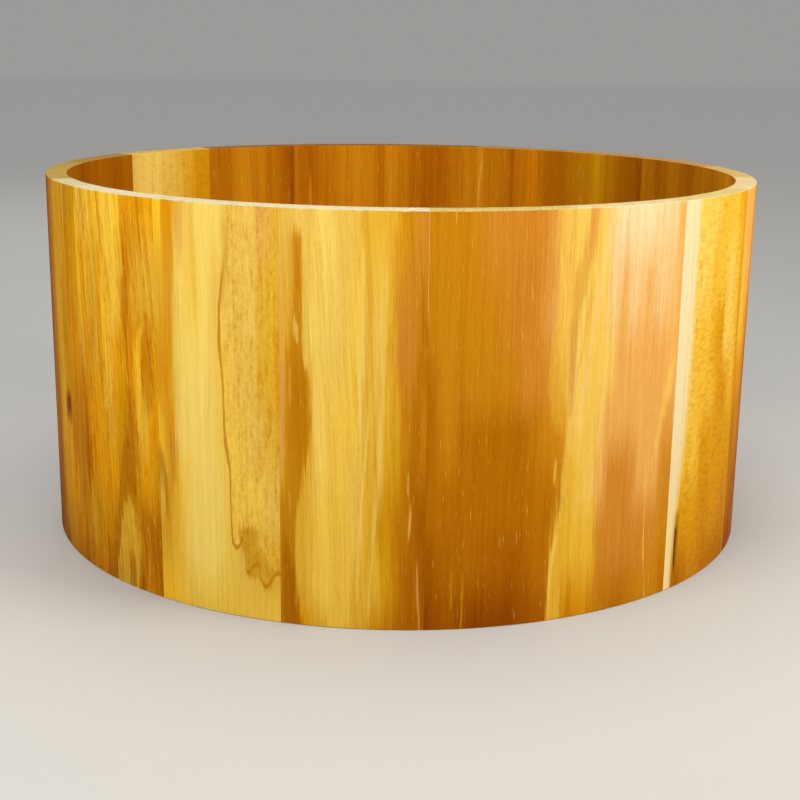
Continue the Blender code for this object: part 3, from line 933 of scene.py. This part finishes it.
def wall_section(angle):
    """The wall's outline at one angle, as (radius, height) points round it, with eased corners."""
    corners = (
        (OUTER_RADIUS, SHELL_DEPTH, -1, -1, 0.0),
        (INNER_RADIUS, SHELL_DEPTH, 1, -1, 90.0),
        (INNER_RADIUS, 0.0, 1, 1, 180.0),
        (OUTER_RADIUS, 0.0, -1, 1, 270.0),
    )
    outline = []
    for i, (r, z, inward, along, start) in enumerate(corners):
        radius = corner_radius(angle, i)
        centre = (r + inward * radius, z + along * radius)
        turns = [math.radians(start + 90 * step / CORNER_STEPS) for step in range(CORNER_STEPS + 1)]
        arc = [(centre[0] + radius * math.cos(t), centre[1] + radius * math.sin(t)) for t in turns]
        before = (-math.sin(turns[0]), math.cos(turns[0]))
        after = (-math.sin(turns[-1]), math.cos(turns[-1]))
        outline.append((arc[0][0] - SUPPORT_LOOP * before[0], arc[0][1] - SUPPORT_LOOP * before[1]))
        outline += arc
        outline.append((arc[-1][0] + SUPPORT_LOOP * after[0], arc[-1][1] + SUPPORT_LOOP * after[1]))
        if i in (1, 3):
            low, high = outline[-1][1], SHELL_DEPTH - outline[-1][1]
            outline += [(r, low + (high - low) * k / RING_HEIGHTS) for k in range(1, RING_HEIGHTS)]
    return outline


def stave_object(name, first, last):
    """A board between two joints: its wall section swept round the arc, with flat mitred sides."""
    steps = max(2, round((last - first) / ARC_STEP))
    bm = bmesh.new()
    rings = []
    for step in range(steps + 1):
        share = step / steps
        ring = []
        for r, z in wall_section(first + (last - first) * share):
            inset = math.degrees(math.asin(JOINT_LINE / 2 / r))
            turn = math.radians(first + inset + (last - first - 2 * inset) * share)
            ring.append(bm.verts.new((r * math.sin(turn), -r * math.cos(turn), z)))
        rings.append(ring)
    count = len(rings[0])
    for near, far in zip(rings, rings[1:]):
        for k in range(count):
            bm.faces.new((near[k], near[(k + 1) % count], far[(k + 1) % count], far[k]))
    bm.faces.new(rings[0])
    bm.faces.new(rings[-1])
    bmesh.ops.recalc_face_normals(bm, faces=bm.faces)
    board = new_object(name, bm)
    board.data.polygons.foreach_set("use_smooth", [True] * len(board.data.polygons))
    board.data.set_sharp_from_angle(angle=SHARP_ANGLE)
    return board


def glue_material():
    """Dried glue in the joints: dark amber, uneven and slightly glossy."""
    material, n, shader = new_material("glue")
    cloud = n.noise(n.add("ShaderNodeTexCoord").outputs["Object"], GLUE_CLOUDS, 3.0)
    n.feed(shader["Base Color"], n.mix(n.span(cloud, 0.3, 0.7), GLUE_TONE, MUSTARD))
    n.feed(shader["Roughness"], n.math("MULTIPLY_ADD", cloud, 0.3, 0.3))
    n.feed(shader["IOR"], 1.45)
    return material


def glue_lines(joints):
    """The thin film of glue in every joint, set back a little from the wood's surface."""
    bm = bmesh.new()
    half = 0.48 * JOINT_LINE
    low, high = GLUE_RECESS, SHELL_DEPTH - GLUE_RECESS
    inner, outer = INNER_RADIUS + GLUE_RECESS, OUTER_RADIUS - GLUE_RECESS
    for joint in joints:
        turn = math.radians(joint)
        out = Vector((math.sin(turn), -math.cos(turn), 0.0))
        along = Vector((math.cos(turn), math.sin(turn), 0.0))
        corners = [bm.verts.new(r * out + side * half * along + Vector((0, 0, z)))
                   for z in (low, high) for r, side in ((inner, -1), (outer, -1), (outer, 1), (inner, 1))]
        bottom, top = corners[:4], corners[4:]
        bm.faces.new(bottom[::-1])
        bm.faces.new(top)
        for k in range(4):
            bm.faces.new((bottom[k], bottom[(k + 1) % 4], top[(k + 1) % 4], top[k]))
    bmesh.ops.recalc_face_normals(bm, faces=bm.faces)
    glue = new_object("glue_lines", bm)
    glue.data.materials.append(glue_material())
    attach(glue, "root")


def build_shell():
    """Every board and the glue between them."""
    groups = {"position": shell_position_group(), "grain": wood_grain_group(), "ends": end_grain_group()}
    names = sorted(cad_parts)
    spans = [stave_span(name) for name in names]
    half_gap = (spans[1][0] - spans[0][1]) / 2
    for index, (name, (first, last)) in enumerate(zip(names, spans), start=1):
        first, last = first - half_gap, last + half_gap
        board = stave_object(name.replace("stave", "board"), first, last)
        board.data.materials.append(board_material(name + "_wood", BOARDS[name], groups, first, last, index))
        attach(board, "root")
        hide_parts(name)
    glue_lines([last + half_gap for _, last in spans])


def area_light(name, size, place, aim, power, colour):
    """A soft box at a place, facing a point."""
    light = bpy.data.lights.new(name, "AREA")
    light.shape = "RECTANGLE"
    light.size, light.size_y = size
    light.energy = power
    light.color = colour
    lamp = new_object(name, light)
    lamp.location = place
    lamp.rotation_euler = (Vector(aim) - Vector(place)).to_track_quat("-Z", "Y").to_euler()
    lamp.visible_camera = False


def make_world():
    """Soft light from all round, palest near the horizon, where it meets the far floor."""
    world = bpy.data.worlds.new("studio")
    world.use_nodes = True
    n = Nodes(world.node_tree)
    direction = n.axes(n.add("ShaderNodeTexCoord").outputs["Generated"])
    upward = n.span(direction[2], *HORIZON_HEIGHTS)
    strength = n.math("MULTIPLY_ADD", upward, SKY_STRENGTH - HORIZON_STRENGTH, HORIZON_STRENGTH)
    background = world.node_tree.nodes["Background"].inputs
    n.feed(background["Color"], (*SKY_COLOUR, 1.0))
    n.feed(background["Strength"], strength)
    bpy.context.scene.world = world


def light_floor(floor):
    """An even overhead light that falls on the floor alone, so that it stays pale far from the lamps."""
    only = bpy.data.collections.new("floor_only")
    only.objects.link(floor)
    light = bpy.data.lights.new("floor_light", "SUN")
    light.energy = FLOOR_LIGHT_POWER
    light.angle = FLOOR_LIGHT_ANGLE
    new_object("floor_light", light).light_linking.receiver_collection = only


def make_floor():
    """The plain pale floor."""
    bm = bmesh.new()
    bmesh.ops.create_circle(bm, cap_ends=True, segments=96, radius=FLOOR_RADIUS)
    floor = new_object("floor", bm)
    floor.location.z = cad_box[0].z
    material, n, shader = new_material("floor")
    n.feed(shader["Base Color"], (*FLOOR_COLOUR, 1.0))
    n.feed(shader["Roughness"], 0.7)
    floor.data.materials.append(material)
    return floor


def make_camera():
    """The camera in front of the shell, a little above its rim, looking slightly down."""
    heading = Vector((math.sin(CAMERA_YAW), math.cos(CAMERA_YAW), 0.0))
    forward = math.cos(CAMERA_PITCH) * heading - math.sin(CAMERA_PITCH) * Vector((0.0, 0.0, 1.0))
    level = Vector((math.cos(CAMERA_YAW), -math.sin(CAMERA_YAW), 0.0))
    upright = level.cross(forward)
    right = math.cos(CAMERA_ROLL) * level + math.sin(CAMERA_ROLL) * upright
    up = math.cos(CAMERA_ROLL) * upright - math.sin(CAMERA_ROLL) * level
    data = bpy.data.cameras.new("camera")
    data.sensor_width = 36.0
    data.lens_unit = "FOV"
    data.angle = CAMERA_VIEW_ANGLE
    camera = new_object("camera", data)
    camera.matrix_world = Matrix((right, up, -forward)).transposed().to_4x4()
    camera.location = (0.0, -CAMERA_DISTANCE * OUTER_RADIUS, cad_box[1].z + CAMERA_ABOVE_RIM * OUTER_RADIUS)
    bpy.context.scene.camera = camera


build_shell()
make_camera()
make_world()
light_floor(make_floor())
for light_name, settings in LIGHTS.items():
    area_light(light_name, *settings)
bpy.context.scene.view_settings.view_transform = "Standard"
